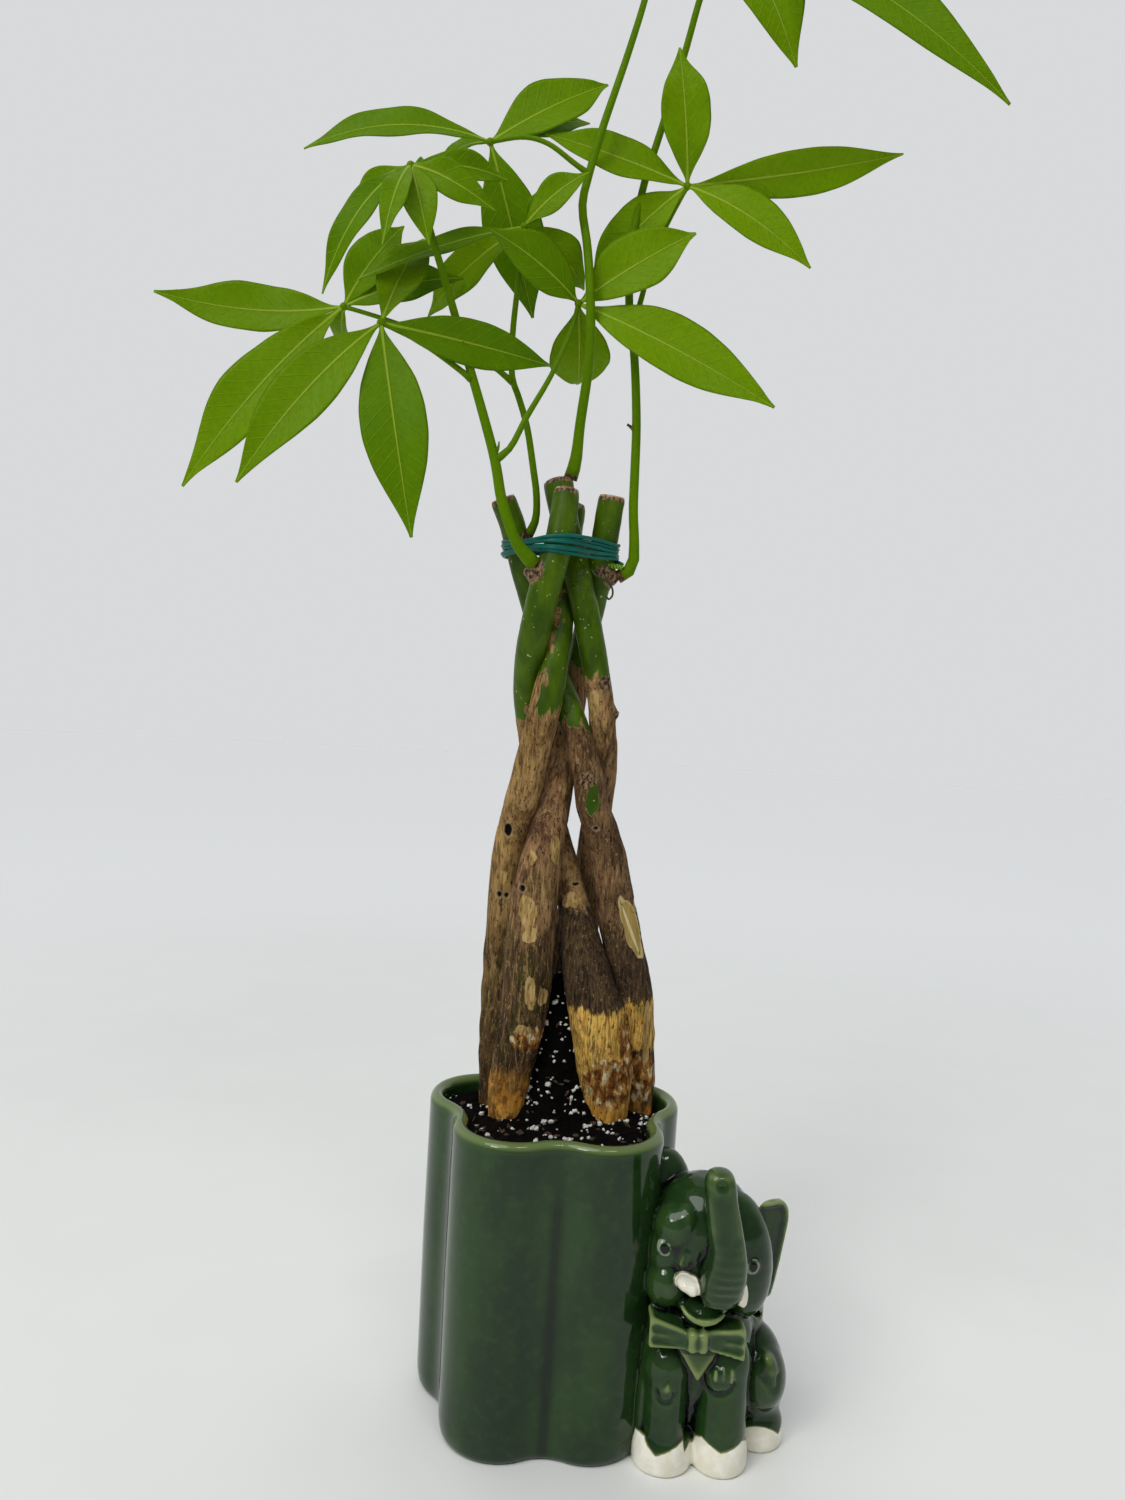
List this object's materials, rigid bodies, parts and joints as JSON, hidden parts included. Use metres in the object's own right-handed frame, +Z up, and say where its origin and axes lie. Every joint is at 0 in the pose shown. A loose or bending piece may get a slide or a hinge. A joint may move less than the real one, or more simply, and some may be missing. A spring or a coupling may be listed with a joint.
{
  "type": "potted braided money tree",
  "caption": "Braided money tree with five trunks and palmate leaves in a dark green glazed five-lobed planter with a small elephant moulded on its front corner.",
  "frame": {"origin": "centre of the planter's flat underside", "axes": "+Z up through the pot, -Y towards the front that the animal faces, +X to the side where it sits"},
  "size_m": [0.3486, 0.1291, 0.7062],
  "materials": {
    "glazed ceramic": "very glossy bottle green glaze, cream on the feet and tusks",
    "potting soil": "dark damp peat with white perlite",
    "bark": "rough tan bark, green towards the top",
    "leaf": "soft sheen living leaf",
    "coated wire": "teal green plastic coating"
  },
  "bodies": {
    "root": {"planter": "glazed ceramic", "soil": "potting soil", "trunk_front": "bark", "trunk_middle": "bark", "trunk_right": "bark", "trunk_back": "bark", "trunk_left": "bark", "shoot_left": "leaf", "shoot_centre": "leaf", "shoot_back": "leaf", "shoot_right": "leaf", "tie_wire": "coated wire"}
  },
  "joints": []
}
